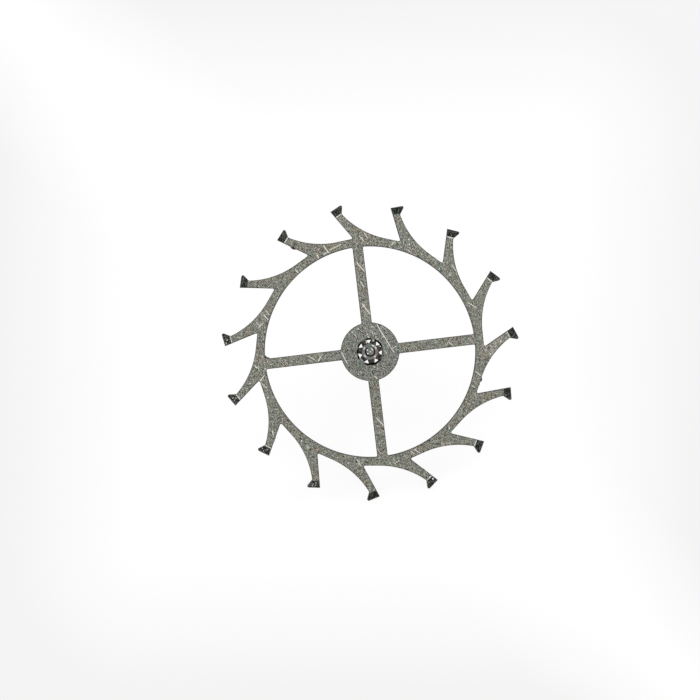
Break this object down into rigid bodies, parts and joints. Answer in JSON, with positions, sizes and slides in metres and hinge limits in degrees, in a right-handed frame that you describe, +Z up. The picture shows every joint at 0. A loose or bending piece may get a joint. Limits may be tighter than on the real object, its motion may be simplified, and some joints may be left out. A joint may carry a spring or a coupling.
{
  "type": "escape wheel",
  "caption": "Flat spoked escape wheel with club teeth, riveted on a leaved pinion whose arbor ends in two fine pivots, lying tilted on one pivot tip and two tooth heels.",
  "frame": {"origin": "on the surface the wheel lies on, straight below the centre of the wheel", "axes": "+Z up, +X level across the wheel along the line of the two heels it lies on, -Y towards those heels; the arbor leans from +Z towards -Y by 28.8 degrees, with the riveted end up"},
  "size_m": [0.0056, 0.0049, 0.0028],
  "materials": {
    "wheel_steel": "satin grey steel with fine random grain and scratches, dark polished bevels on the tooth heads",
    "pinion_steel": "polished dark steel"
  },
  "bodies": {
    "root": {"escape_wheel": "wheel_steel", "escape_pinion": "pinion_steel"}
  },
  "joints": []
}
